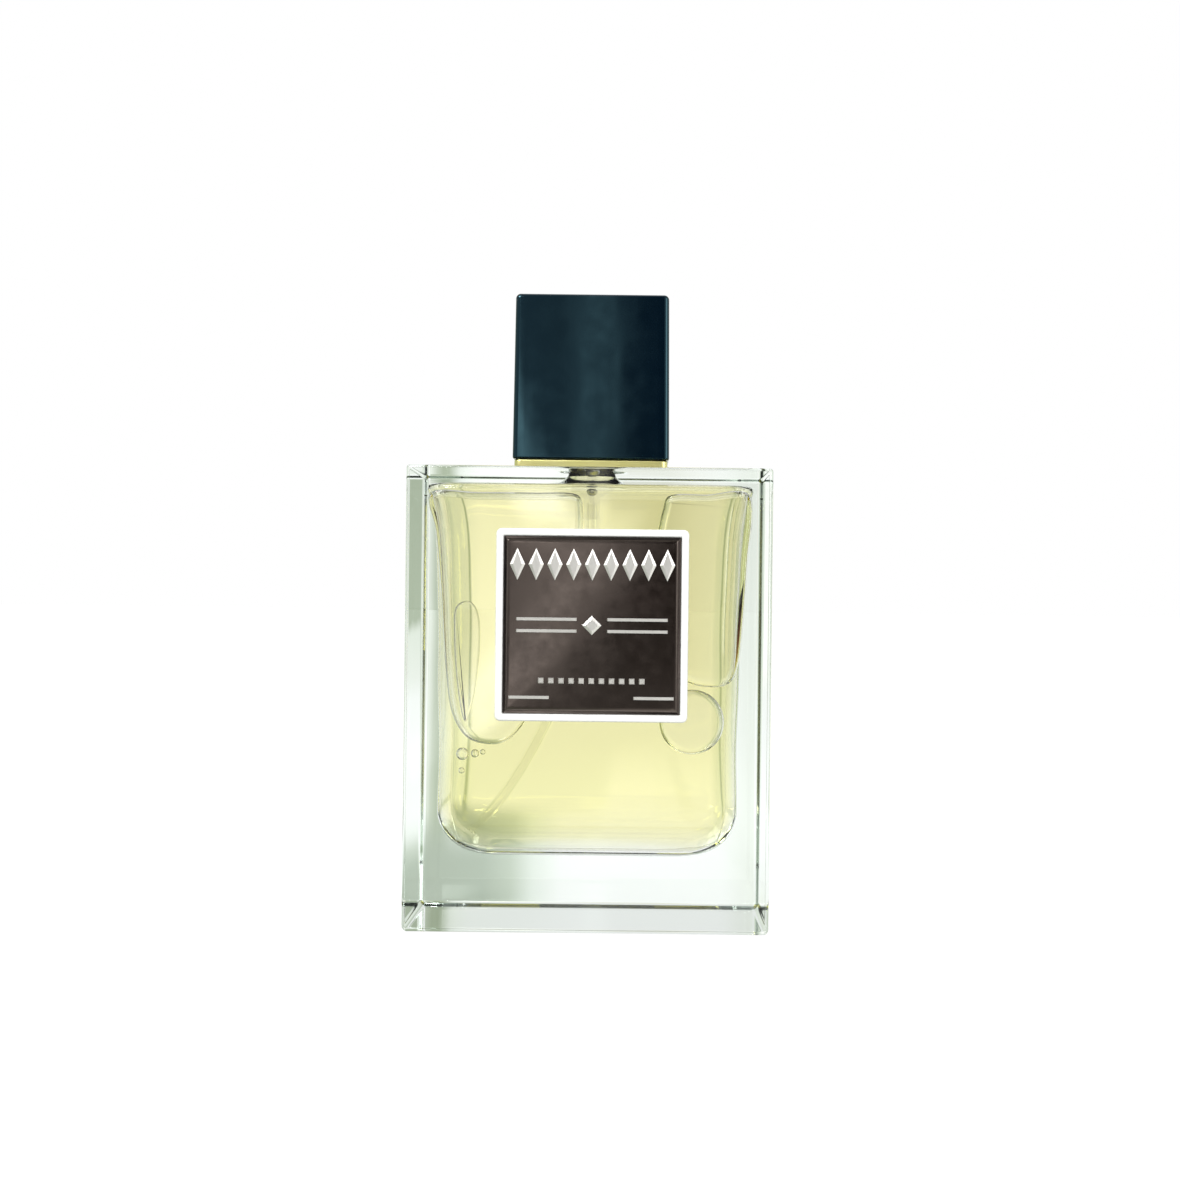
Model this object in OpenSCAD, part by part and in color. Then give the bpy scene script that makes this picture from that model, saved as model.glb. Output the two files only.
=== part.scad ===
// Square-shouldered glass spray bottle with a crimped fine-mist pump, a gilt collar and a pull-off
// square cap. Millimetres. The origin is the middle of the base, +Z is up, the label faces -Y.

/* [Glass bottle] */
// Width of the glass, side to side
bottle_w = 66; // [58:1:80]
// Depth of the glass, front to back
bottle_d = 36; // [35:1:46]
// Height of the glass, base to shoulder
bottle_h = 84; // [70:1:102]
// Radius along the outer edges of the glass
glass_edge_r = 1.2; // [0.6:0.1:2]
// Thickness of the front and back walls
face_wall = 3; // [2:0.1:4]
// Thickness of the flat shoulder
shoulder_wall = 3; // [2.4:0.1:4]
// Thickness of the side walls at the shoulder
side_wall_top = 3; // [2:0.1:4]
// Thickness of the side walls lower down
side_wall_low = 5.7; // [4:0.1:8]
// Height over which the side walls thicken
side_wall_reach = 9.6; // [6:0.2:14]
// Thickness of the heavy base
base_wall = 12.8; // [8:0.2:18]
// Rise of the cavity floor towards its middle
floor_rise = 1; // [0.2:0.1:2]
// Radius between the cavity floor and its walls
cavity_floor_r = 9; // [6:0.5:10]
// Radius of the upright corners inside the cavity
cavity_corner_r = 4; // [2:0.5:5]
// Empty height left above the liquid
headspace = 1.4; // [1.3:0.1:6]

/* [Neck] */
// Outer radius of the neck below its bead
neck_r = 6.2; // [5.8:0.1:6.6]
// Radius of the bead that the ferrule is crimped under
bead_r = 7.4; // [7.2:0.05:8.9]
// Height of the bead
bead_h = 3; // [2.4:0.1:3.6]
// Height of the neck above the shoulder
neck_h = 7.5; // [6.2:0.1:9]
// Radius of the bore through the neck
neck_bore_r = 4.3; // [4.1:0.1:5.2]

/* [Label] */
// Width and height of the label frame
label_size = 34.5; // [28:0.5:42]
// Distance from the shoulder down to the frame
label_drop = 11.3; // [6:0.1:16]
// Sideways offset of the label from the middle
label_shift = 0.7; // [-2:0.1:2]
// Thickness of the label frame
label_frame_t = 0.9; // [0.7:0.1:1.4]
// Width of the frame around the panel
label_border = 1.4; // [1:0.1:3]
// Thickness of the adhesive film behind the frame
adhesive_t = 0.1; // [0.05:0.05:0.2]
// Thickness of the dark panel
panel_t = 0.7; // [0.5:0.1:0.9]
// Thickness of the raised ornament
ornament_t = 0.2; // [0.1:0.05:0.4]

/* [Cap] */
// Width of the square cap at its mouth
cap_w = 28.6; // [28:0.2:35]
// Width of the square cap at its top
cap_top_w = 28; // [27:0.2:34]
// Height of the cap
cap_h = 30.2; // [28:0.1:38]
// Thickness of the cap walls and top
cap_wall = 1.8; // [1.4:0.1:2.2]
// Radius along the edges of the cap
cap_edge_r = 0.9; // [0.5:0.1:1.3]
// Thickness of the round liner inside the cap
liner_wall = 1; // [0.7:0.1:1.4]

/* [Collar] */
// Height of the square gilt band under the cap
band_h = 1.6; // [1.2:0.1:3]
// Inset of the band from the edge of the cap
band_inset = 0.3; // [0.1:0.1:1]
// Thickness of the collar's round sleeve
collar_wall = 0.9; // [0.6:0.1:1.2]

/* [Pump] */
// Travel of the spray button
stroke = 4.2; // [3:0.1:5.1]
// Radius of the pump chamber
chamber_r = 2.75; // [2.6:0.05:3.3]
// Radius of the upper stem tube
stem_r = 1.5; // [1.35:0.05:1.8]
// Outer radius of the dip tube
tube_r = 0.92; // [0.8:0.02:1.1]
// Inner radius of the dip tube
tube_bore_r = 0.55; // [0.4:0.05:0.6]
// Radius of the inlet ball
ball_r = 1; // [0.9:0.05:1.1]
// Lift of the inlet ball off its seat
ball_lift = 0.5; // [0.2:0.1:0.6]
// Turns of the return spring
return_turns = 3.8; // [3:0.1:5]
// Wire diameter of the return spring
return_wire_d = 0.4; // [0.3:0.02:0.4]
// Turns of the priming spring
priming_turns = 3; // [2:0.1:4]
// Wire diameter of the priming spring
priming_wire_d = 0.3; // [0.2:0.02:0.36]
// Lift of the piston along the stem while the pump sprays
piston_lift = 0.4; // [0.2:0.1:0.5]

/* [Spray button] */
// Height of the button from its ceiling to its top
button_head = 5; // [4.8:0.1:7]
// Thickness of the button's skirt
button_wall = 1; // [0.8:0.1:1.2]
// Radius of the nozzle insert
nozzle_r = 1.6; // [1.3:0.05:1.7]
// Radius of the spray orifice
orifice_r = 0.15; // [0.1:0.05:0.3]

/* [Hidden] */
$fn = 64;
edge_fn = 32;
overrun = 1;

// Clearances
slip = 0.05;
snug = 0.01;
free_gap = 0.15;
wide_gap = 0.4;

// Glass and its cavity
cavity_top = bottle_h - shoulder_wall;
cavity_top_r = 1.2;
cavity_low = base_wall + cavity_floor_r;
fill_z = cavity_top - headspace;
dome_rise = 0.6;
core_share = 0.55;
core_lift = 0.7;
corner_steps = 6;
arc_steps = 5;
side_steps = 8;

// Neck finish and what is stacked on it
neck_top = bottle_h + neck_h;
bead_z = neck_top - bead_h;
gasket_t = 0.8;
flange_t = 1;
flange_r = bead_r - 0.7;
flange_z = neck_top + gasket_t;
flange_top = flange_z + flange_t;
sheet_t = 0.4;
ferrule_top = flange_top + sheet_t;
ferrule_in = bead_r + free_gap;
ferrule_out = ferrule_in + sheet_t;
crimp_h = 0.9;
crimp_r = neck_r + wide_gap;
crimp_top = bead_z - 0.2;

// Pump chamber and stem guide
barrel_wall = 1.55;
barrel_r = chamber_r + barrel_wall;
barrel_h = 3.7;
barrel_top = flange_top + barrel_h;
guide_t = 1.6;
guide_top = barrel_top + guide_t;
guide_in = stem_r + 2 * slip;
guide_skirt_in = barrel_r + slip;
guide_out = guide_skirt_in + sheet_t;
guide_skirt_h = 3;
turret_in = guide_out + 2 * slip;
turret_out = turret_in + sheet_t;
turret_top = guide_top + sheet_t;
seal_t = 0.6;
seal_z = barrel_top - seal_t;
seal_out = chamber_r + 0.4;

// Stem, piston and springs, from the seal downwards
return_spring_h = stroke + (return_turns + 1) * return_wire_d + 0.1;
priming_spring_h = piston_lift + (priming_turns + 1) * priming_wire_d + 0.6;
shoulder_t = 0.75;
shoulder_top = seal_z - slip;
shoulder_z = shoulder_top - shoulder_t;
shoulder_r = chamber_r - 0.55;
pin_r = 0.9;
pin_bore_r = 0.5;
pin_grip = 1.8;
stem_bore_r = 0.6;
piston_h = 3.2;
piston_top = shoulder_z - priming_spring_h;
piston_z = piston_top - piston_h;
piston_r = chamber_r - slip;
foot_t = 0.6;
foot_top = piston_z - 0.02;
foot_z = foot_top - foot_t;
foot_r = chamber_r - wide_gap;
port_z = piston_z + 0.8;
port_r = 0.25;
spring_seat_z = foot_z - return_spring_h;
return_coil_r = foot_r - return_wire_d / 2;
priming_coil_r = pin_r + 0.55 + priming_wire_d / 2;

// Inlet valve under the chamber
retainer_t = 0.4;
retainer_r = 0.85 * ball_r;
cage_r = ball_r + free_gap;
cage_h = 2 * ball_r + ball_lift + 0.05;
cage_z = spring_seat_z - retainer_t - cage_h;
inlet_r = 0.5;
seat_z = cage_z - (cage_r - inlet_r);
ball_z = seat_z - inlet_r + ball_r * sqrt(2) + 0.02;
body_r = neck_bore_r - wide_gap;
tail_r = tube_r + 0.58;
tail_top = seat_z - 0.4;
body_z = cage_z + 0.2;
tube_stop_z = tail_top - 1;
tube_socket_h = 3;
tail_z = tube_stop_z - tube_socket_h;

// Dip tube, an arc from the housing's tail to the left corner of the cavity floor
tube_top = tube_stop_z - 0.1;
tube_arc_z = tail_z - 1;
tube_side_gap = 5.2;
tube_floor_gap = 2.7;
tube_reach = bottle_w / 2 - side_wall_low - tube_side_gap;
tube_end_z = base_wall + tube_floor_gap;
tube_drop = tube_arc_z - tube_end_z;
tube_bend_r = (pow(tube_reach, 2) + pow(tube_drop, 2)) / (2 * tube_reach);
tube_bend_angle = 2 * atan(tube_reach / tube_drop);
tube_sides = 12;
tube_steps = 24;

// Spray button and nozzle
ceiling_z = turret_top + stroke + 0.2;
button_z = ferrule_top + stroke + 0.5;
button_top = ceiling_z + button_head;
button_skirt_in = turret_out + wide_gap;
button_r = button_skirt_in + button_wall;
button_edge_r = 0.5;
button_dish = 0.35;
socket_r = stem_r + 0.03;
stem_grip = 2.6;
stem_top = ceiling_z + stem_grip;
nozzle_z = button_top - nozzle_r - 0.8;
channel_r = 0.35;
channel_z = stem_top + channel_r + slip;
socket_top_z = channel_z + channel_r + slip;
nozzle_face_y = -button_r + 0.2;
nozzle_back_y = -stem_r - 1.2;
orifice_land = 0.4;
swirl_r = nozzle_r / 2;

// Collar
collar_top = turret_top + 0.2;
sleeve_in = ferrule_out + free_gap;
sleeve_out = sleeve_in + collar_wall;
lip_r = button_r + 0.6;
lip_t = 1;
snap_r = sleeve_out + free_gap;
snap_rise = 8;
snap_h = 1;
snap_z = bottle_h + snap_rise;
band_w = cap_w - 2 * band_inset;
band_corner_r = 1.2;
band_edge_r = 0.25;

// Cap
cap_z = bottle_h + band_h + 0.1;
cap_top = cap_z + cap_h;
cap_taper = (cap_w - cap_top_w) / cap_h;
liner_in = snap_r + slip;
liner_out = liner_in + liner_wall;
liner_z = cap_z + 0.3;
liner_top = cap_top - cap_wall;
liner_disc_t = 0.7;
liner_foot_r = cap_w / 2 - cap_wall - 2 * slip;
liner_foot_h = 0.8;
rib_t = 1;
rib_gap = liner_z - cap_z + liner_foot_h + slip;

// Label, from the glass outwards
label_z = bottle_h - label_drop - label_size / 2;
adhesive_inset = 0.5;
frame_corner_r = 1;
frame_edge_r = 0.3;
frame_floor = 0.3;
panel_w = label_size - 2 * label_border;
panel_gap = 0.1;
panel_skirt_t = 0.3;
panel_step = 0.45;
panel_bevel = 0.35;
panel_face = adhesive_t + frame_floor + panel_t;
lozenge_count = 9;
lozenge_w = 2.7;
lozenge_h = 5.7;
square_count = 11;
square_size = 1;
rule_t = 0.55;
lozenge_row = 0.36;
rule_row = 0.035;
rule_gap = 0.09;
rule_share = 0.36;
square_row = -0.33;
square_share = 0.6;
foot_row = -0.43;
foot_share = 0.24;

// Thickness of a side wall of the glass at height z
function side_wall(z) =
    side_wall_low
    - (side_wall_low - side_wall_top) * exp(-max(cavity_top - z, 0) / side_wall_reach);

// A rounded rectangle at height z inside the cavity, inset from its walls
function cavity_ring(z, inset) =
    let (
        half_w = bottle_w / 2 - side_wall(z) - inset,
        half_d = bottle_d / 2 - face_wall - inset
    )
    [
        for (quarter = [0:3], step = [0:corner_steps])
            let (
                a = 90 * quarter + 90 * step / corner_steps,
                side_x = (quarter == 0 || quarter == 3) ? 1 : -1,
                side_y = quarter < 2 ? 1 : -1
            )
            [
                side_x * (half_w - cavity_corner_r) + cavity_corner_r * cos(a),
                side_y * (half_d - cavity_corner_r) + cavity_corner_r * sin(a),
                z
            ]
    ];

// A ring shrunk towards the axis and moved to height z
function shrunk(ring, scale, z) = [for (p = ring) [p[0] * scale, p[1] * scale, z]];

floor_ring = cavity_ring(base_wall, cavity_floor_r);
top_ring = cavity_ring(cavity_top, cavity_top_r);

// Rings of the cavity from its floor up to the level of the liquid
wet_rings = concat(
    [shrunk(floor_ring, core_share, base_wall + core_lift * floor_rise)],
    [
        for (step = [0:arc_steps])
            let (a = 90 - 90 * step / arc_steps)
            cavity_ring(cavity_low - cavity_floor_r * sin(a), cavity_floor_r * (1 - cos(a)))
    ],
    [
        for (step = [1:side_steps])
            cavity_ring(fill_z - (fill_z - cavity_low) * pow(1 - step / side_steps, 2), 0)
    ]
);

// Rings of the cavity above the liquid
dry_rings = concat(
    [
        for (a = [0:30:90])
            cavity_ring(cavity_top - cavity_top_r * (1 - sin(a)), cavity_top_r * (1 - cos(a)))
    ],
    [shrunk(top_ring, core_share, cavity_top + core_lift * dome_rise)]
);

// A solid through a stack of rings, closed at low_z and high_z on the axis
module loft(rings, low_z, high_z) {
    n = len(rings[0]);
    last = n * (len(rings) - 1);
    low = n * len(rings);
    high = low + 1;
    points = concat([for (ring = rings) each ring], [[0, 0, low_z], [0, 0, high_z]]);
    sides = [
        for (k = [0:len(rings) - 2], i = [0:n - 1])
            let (a = n * k + i, b = n * k + (i + 1) % n)
            each [[a, a + n, b + n], [a, b + n, b]]
    ];
    floor_fan = [for (i = [0:n - 1]) [low, i, (i + 1) % n]];
    top_fan = [for (i = [0:n - 1]) [high, last + (i + 1) % n, last + i]];
    polyhedron(points = points, faces = concat(sides, floor_fan, top_fan), convexity = 4);
}

// A quarter-round profile of radius r, turned into a dome that stands on z = 0
module dome(r) {
    rotate_extrude($fn = edge_fn)
        polygon(concat([[0, 0]], [for (a = [0:15:90]) [r * cos(a), r * sin(a)]]));
}

// A rounded block on z = 0, w by d at the bottom and top_w by top_d at the top
module rounded_block(w, d, h, r, top_w, top_d) {
    hull()
        for (x = [-1, 1], y = [-1, 1]) {
            translate([x * (w / 2 - r), y * (d / 2 - r), r]) mirror([0, 0, 1]) dome(r);
            translate([x * (top_w / 2 - r), y * (top_d / 2 - r), h - r]) dome(r);
        }
}

// A rounded plate on z = 0 with softened upper edges
module soft_plate(w, h, t, corner_r, edge_r) {
    hull()
        for (x = [-1, 1], y = [-1, 1])
            translate([x * (w / 2 - corner_r), y * (h / 2 - corner_r), 0])
                rotate_extrude($fn = edge_fn)
                    polygon(concat(
                        [[0, 0]],
                        [[corner_r, 0]],
                        [
                            for (a = [0:22.5:90])
                                [corner_r - edge_r * (1 - cos(a)), t - edge_r * (1 - sin(a))]
                        ],
                        [[0, t]]
                    ));
}

// A pipe on z = 0
module pipe(outer, inner, h) {
    difference() {
        cylinder(r = outer, h = h);
        translate([0, 0, -overrun]) cylinder(r = inner, h = h + 2 * overrun);
    }
}

// Children laid on the front of the glass, their +Z pointing out along -Y
module on_front(height) {
    translate([label_shift, -bottle_d / 2 - height, label_z]) rotate([90, 0, 0]) children();
}

// A solid swept through a row of rings, with flat ends
module sweep(rings) {
    n = len(rings[0]);
    last = n * (len(rings) - 1);
    points = [for (ring = rings) each ring];
    sides = [
        for (s = [0:len(rings) - 2], k = [0:n - 1])
            let (a = n * s + k, b = n * s + (k + 1) % n)
            each [[a, b, b + n], [a, b + n, a + n]]
    ];
    first_end = [for (k = [n - 1:-1:0]) k];
    last_end = [for (k = [0:n - 1]) last + k];
    polyhedron(points = points, faces = concat(sides, [first_end, last_end]), convexity = 8);
}

// One helical wire that stands on z = 0 and is h high
module coil(r, wire_d, h, turns) {
    wire_sides = 8;
    steps = ceil(turns * 20);
    sweep([
        for (s = [0:steps])
            let (turn = 360 * turns * s / steps, z = wire_d / 2 + (h - wire_d) * s / steps)
            [
                for (k = [0:wire_sides - 1])
                    let (a = 360 * k / wire_sides, reach = r + wire_d / 2 * cos(a))
                    [reach * cos(turn), reach * sin(turn), z + wire_d / 2 * sin(a)]
            ]
    ]);
}

// A round section of the dip tube where its arc has turned by angle, moved on by ahead
function tube_ring(r, angle, ahead) =
    let (
        x = -tube_bend_r * (1 - cos(angle)) - ahead * sin(angle),
        z = tube_arc_z - tube_bend_r * sin(angle) - ahead * cos(angle)
    )
    [
        for (k = [0:tube_sides - 1])
            let (a = 360 * k / tube_sides)
            [x + r * cos(a) * cos(angle), r * sin(a), z - r * cos(a) * sin(angle)]
    ];

// The dip tube's path swept with a round section, longer by spare at both ends
module tube_run(r, spare) {
    sweep(concat(
        [tube_ring(r, 0, tube_arc_z - tube_top - spare)],
        [for (s = [0:tube_steps]) tube_ring(r, tube_bend_angle * s / tube_steps, 0)],
        spare > 0 ? [tube_ring(r, tube_bend_angle, spare)] : []
    ));
}

// The outside of the pump and dip tube below the shoulder, which the liquid leaves free
module wetted_pump() {
    translate([0, 0, tail_z]) cylinder(r = tail_r, h = tail_top - tail_z);
    translate([0, 0, tail_top]) cylinder(r1 = tail_r, r2 = body_r, h = body_z - tail_top);
    translate([0, 0, body_z]) cylinder(r = body_r, h = overrun);
    tube_run(tube_r, 0);
}

module glass_bottle() {
    color([0.86, 0.93, 0.9, 0.35]) difference() {
        union() {
            rounded_block(bottle_w, bottle_d, bottle_h, glass_edge_r, bottle_w, bottle_d);
            translate([0, 0, cavity_top]) cylinder(r = neck_r, h = neck_top - cavity_top);
            translate([0, 0, bead_z]) cylinder(r = bead_r, h = bead_h);
        }
        loft(concat(wet_rings, dry_rings), base_wall + floor_rise, cavity_top + dome_rise);
        translate([0, 0, cavity_top - overrun])
            cylinder(r = neck_bore_r, h = neck_top - cavity_top + 2 * overrun);
    }
}

module fragrance_liquid() {
    color([0.93, 0.88, 0.55, 0.6]) difference() {
        loft(wet_rings, base_wall + floor_rise, fill_z);
        wetted_pump();
    }
}

module label_adhesive() {
    size = label_size - 2 * adhesive_inset;
    color("whitesmoke") on_front(0) translate([-size / 2, -size / 2, 0]) cube([size, size, adhesive_t]);
}

module label_frame() {
    hole = panel_w + 2 * panel_gap;
    color("white") on_front(adhesive_t) difference() {
        soft_plate(label_size, label_size, label_frame_t, frame_corner_r, frame_edge_r);
        translate([-hole / 2, -hole / 2, frame_floor]) cube([hole, hole, label_frame_t]);
    }
}

module label_panel() {
    step_w = panel_w - 2 * panel_step;
    face_w = step_w - 2 * panel_bevel;
    color([0.27, 0.22, 0.19]) on_front(adhesive_t + frame_floor) union() {
        translate([-panel_w / 2, -panel_w / 2, 0]) cube([panel_w, panel_w, panel_skirt_t]);
        hull() {
            translate([-step_w / 2, -step_w / 2, 0]) cube([step_w, step_w, panel_skirt_t]);
            translate([-face_w / 2, -face_w / 2, 0]) cube([face_w, face_w, panel_t]);
        }
    }
}

// A lozenge that stands on z = 0
module lozenge(w, h, t) {
    linear_extrude(t) polygon([[w / 2, 0], [0, h / 2], [-w / 2, 0], [0, -h / 2]]);
}

// A flat bar centred on the axis that stands on z = 0
module bar(w, h, t) {
    translate([-w / 2, -h / 2, 0]) cube([w, h, t]);
}

module label_ornament() {
    face_w = panel_w - 2 * panel_step - 2 * panel_bevel;
    reach = face_w / 2 - 0.3;
    pitch = (2 * reach - lozenge_w) / (lozenge_count - 1);
    square_pitch = square_share * face_w / (square_count - 1);
    long_bar = rule_share * face_w;
    short_bar = foot_share * face_w;
    color("silver") on_front(panel_face) {
        translate([0, lozenge_row * face_w, 0])
            for (i = [0:lozenge_count - 1])
                translate([pitch * (i - (lozenge_count - 1) / 2), 0, 0])
                    lozenge(lozenge_w, lozenge_h, ornament_t);
        lozenge(lozenge_h * 0.6, lozenge_h * 0.6, ornament_t);
        for (x = [-1, 1], y = [-1, 1])
            translate([x * (long_bar / 2 + rule_gap * face_w), y * rule_row * face_w, 0])
                bar(long_bar, rule_t, ornament_t);
        translate([0, square_row * face_w, 0])
            for (i = [0:square_count - 1])
                translate([square_pitch * (i - (square_count - 1) / 2), 0, 0])
                    bar(square_size, square_size, ornament_t);
        for (x = [-1, 1])
            translate([x * (reach - short_bar / 2), foot_row * face_w, 0])
                bar(short_bar, rule_t, ornament_t);
    }
}

module neck_gasket() {
    color("gainsboro") translate([0, 0, neck_top]) pipe(flange_r + slip, body_r + slip, gasket_t);
}

module crimp_ferrule() {
    color("silver") rotate_extrude() polygon([
        [crimp_r, crimp_top - crimp_h],
        [ferrule_out, crimp_top - crimp_h],
        [ferrule_out, ferrule_top],
        [turret_out, ferrule_top],
        [turret_out, turret_top],
        [stem_r + wide_gap, turret_top],
        [stem_r + wide_gap, guide_top],
        [turret_in, guide_top],
        [turret_in, flange_top],
        [ferrule_in, flange_top],
        [ferrule_in, crimp_top],
        [crimp_r, crimp_top]
    ]);
}

module collar() {
    color([0.72, 0.66, 0.4]) {
        difference() {
            union() {
                translate([0, 0, bottle_h])
                    soft_plate(band_w, band_w, band_h, band_corner_r, band_edge_r);
                translate([0, 0, bottle_h]) cylinder(r = sleeve_out, h = collar_top - bottle_h);
                translate([0, 0, snap_z]) rotate_extrude() polygon([
                    [0, -snap_h / 2],
                    [sleeve_out, -snap_h / 2],
                    [snap_r, 0],
                    [sleeve_out, snap_h / 2],
                    [0, snap_h / 2]
                ]);
            }
            translate([0, 0, bottle_h - overrun])
                cylinder(r = sleeve_in, h = collar_top - lip_t - bottle_h + overrun);
            translate([0, 0, bottle_h]) cylinder(r = lip_r, h = collar_top);
        }
    }
}

module pump_housing() {
    color([0.93, 0.93, 0.9]) rotate_extrude() polygon([
        [tube_r + snug, tail_z],
        [tail_r, tail_z],
        [tail_r, tail_top],
        [body_r, body_z],
        [body_r, flange_z],
        [flange_r, flange_z],
        [flange_r, flange_top],
        [barrel_r, flange_top],
        [barrel_r, barrel_top],
        [seal_out + slip, barrel_top],
        [seal_out + slip, seal_z],
        [chamber_r, seal_z],
        [chamber_r, spring_seat_z],
        [retainer_r, spring_seat_z],
        [retainer_r, spring_seat_z - retainer_t],
        [cage_r, spring_seat_z - retainer_t],
        [cage_r, cage_z],
        [inlet_r, seat_z],
        [inlet_r, tube_stop_z],
        [tube_r + snug, tube_stop_z]
    ]);
}

module stem_guide() {
    color("white") rotate_extrude() polygon([
        [guide_in, barrel_top],
        [guide_skirt_in, barrel_top],
        [guide_skirt_in, barrel_top - guide_skirt_h],
        [guide_out, barrel_top - guide_skirt_h],
        [guide_out, guide_top],
        [guide_in, guide_top]
    ]);
}

module stem_seal() {
    color("dimgray") translate([0, 0, seal_z]) pipe(seal_out, stem_r + slip, seal_t);
}

module dip_tube() {
    color([0.95, 0.96, 0.93]) difference() {
        tube_run(tube_r, 0);
        tube_run(tube_bore_r, overrun);
    }
}

module return_spring() {
    color("silver") translate([0, 0, spring_seat_z])
        coil(return_coil_r, return_wire_d, return_spring_h, return_turns);
}

module inlet_ball() {
    color("silver") translate([0, 0, ball_z]) sphere(r = ball_r);
}

module pump_stem() {
    color("white") rotate_extrude() polygon([
        [pin_r, shoulder_z],
        [shoulder_r, shoulder_z],
        [shoulder_r, shoulder_top],
        [stem_r, shoulder_top],
        [stem_r, stem_top],
        [stem_bore_r, stem_top],
        [stem_bore_r, shoulder_z + pin_grip],
        [pin_r, shoulder_z + pin_grip]
    ]);
}

module stem_pin() {
    color("white") difference() {
        union() {
            translate([0, 0, foot_z]) cylinder(r = foot_r, h = foot_t);
            translate([0, 0, foot_z]) cylinder(r = pin_r, h = shoulder_z + pin_grip - foot_z);
        }
        translate([0, 0, port_z]) cylinder(r = pin_bore_r, h = shoulder_z + pin_grip);
        translate([-pin_r - overrun, 0, port_z + port_r])
            rotate([0, 90, 0]) cylinder(r = port_r, h = 2 * pin_r + 2 * overrun);
    }
}

module priming_spring() {
    color("silver") translate([0, 0, piston_top])
        coil(priming_coil_r, priming_wire_d, priming_spring_h, priming_turns);
}

module pump_piston() {
    lip_h = 0.7;
    waist_r = piston_r - 0.3;
    color("white") rotate_extrude() polygon([
        [pin_r + slip, piston_z],
        [piston_r, piston_z],
        [piston_r, piston_z + lip_h],
        [waist_r, piston_z + lip_h + 0.3],
        [waist_r, piston_top - lip_h - 0.3],
        [piston_r, piston_top - lip_h],
        [piston_r, piston_top],
        [pin_r + slip, piston_top]
    ]);
}

module spray_button() {
    color("white") difference() {
        rotate_extrude() polygon(concat(
            [[button_skirt_in, button_z]],
            [[button_r, button_z]],
            [
                for (a = [0:15:90])
                    [
                        button_r - button_edge_r * (1 - cos(a)),
                        button_top - button_edge_r * (1 - sin(a))
                    ]
            ],
            [[button_r - 1.6, button_top - button_dish]],
            [[0, button_top - button_dish]],
            [[0, socket_top_z]],
            [[socket_r, socket_top_z]],
            [[socket_r, ceiling_z]],
            [[button_skirt_in, ceiling_z]]
        ));
        translate([0, nozzle_back_y, nozzle_z])
            rotate([90, 0, 0]) cylinder(r = nozzle_r, h = button_r);
        translate([0, nozzle_back_y - overrun, channel_z])
            rotate([-90, 0, 0]) cylinder(r = channel_r, h = overrun - nozzle_back_y);
    }
}

module nozzle_insert() {
    depth = nozzle_back_y - nozzle_face_y;
    color("white") translate([0, nozzle_back_y, nozzle_z]) rotate([90, 0, 0]) difference() {
        cylinder(r = nozzle_r - snug, h = depth);
        translate([0, 0, -overrun]) cylinder(r = swirl_r, h = depth - orifice_land + overrun);
        cylinder(r = orifice_r, h = depth + overrun);
    }
}

module cap_shell() {
    inner_w = cap_w - 2 * cap_wall;
    inner_top_w = cap_top_w - 2 * cap_wall;
    flare = cap_taper * overrun;
    rib_reach = inner_w / 2 - liner_out - slip;
    color([0.06, 0.12, 0.16]) translate([0, 0, cap_z]) {
        difference() {
            rounded_block(cap_w, cap_w, cap_h, cap_edge_r, cap_top_w, cap_top_w);
            hull() {
                translate([0, 0, -overrun])
                    bar(inner_w + flare, inner_w + flare, overrun);
                bar(inner_top_w, inner_top_w, cap_h - cap_wall);
            }
        }
        for (a = [0:90:270])
            rotate([0, 0, a])
                translate([liner_out + slip, -rib_t / 2, rib_gap])
                    cube([rib_reach + cap_wall / 2, rib_t, cap_h - cap_wall / 2 - rib_gap]);
    }
}

module cap_liner() {
    color("whitesmoke") difference() {
        union() {
            translate([0, 0, liner_z]) cylinder(r = liner_out, h = liner_top - liner_z);
            translate([0, 0, liner_z]) cylinder(r = liner_foot_r, h = liner_foot_h);
        }
        translate([0, 0, liner_z - overrun])
            cylinder(r = liner_in, h = liner_top - liner_disc_t - liner_z + overrun);
    }
}

glass_bottle();
fragrance_liquid();
label_adhesive();
label_frame();
label_panel();
label_ornament();
neck_gasket();
crimp_ferrule();
collar();
pump_housing();
stem_guide();
stem_seal();
dip_tube();
return_spring();
inlet_ball();
pump_stem();
stem_pin();
priming_spring();
pump_piston();
spray_button();
nozzle_insert();
cap_shell();
cap_liner();
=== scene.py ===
"""Looks of a square glass spray bottle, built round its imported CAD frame.

Lengths below are in millimetres, in the row frame: the base stands on z = 0 and the label faces -Y.
"""

import math

import bpy
from mathutils import Matrix, Vector


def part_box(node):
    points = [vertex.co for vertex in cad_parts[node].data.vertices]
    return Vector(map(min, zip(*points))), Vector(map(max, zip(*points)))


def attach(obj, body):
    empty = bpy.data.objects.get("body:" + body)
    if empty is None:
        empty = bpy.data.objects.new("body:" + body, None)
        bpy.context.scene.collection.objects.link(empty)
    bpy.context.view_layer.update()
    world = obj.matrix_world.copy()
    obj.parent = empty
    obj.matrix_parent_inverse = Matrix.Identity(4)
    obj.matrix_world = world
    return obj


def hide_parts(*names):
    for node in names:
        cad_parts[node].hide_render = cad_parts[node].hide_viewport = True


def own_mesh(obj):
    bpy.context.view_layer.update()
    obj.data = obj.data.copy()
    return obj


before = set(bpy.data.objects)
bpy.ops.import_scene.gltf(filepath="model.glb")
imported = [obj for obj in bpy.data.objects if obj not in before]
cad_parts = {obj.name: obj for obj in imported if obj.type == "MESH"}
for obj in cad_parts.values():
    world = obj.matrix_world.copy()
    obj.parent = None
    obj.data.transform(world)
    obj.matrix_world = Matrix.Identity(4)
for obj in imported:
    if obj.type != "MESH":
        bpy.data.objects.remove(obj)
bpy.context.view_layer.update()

MM = 0.001


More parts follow.
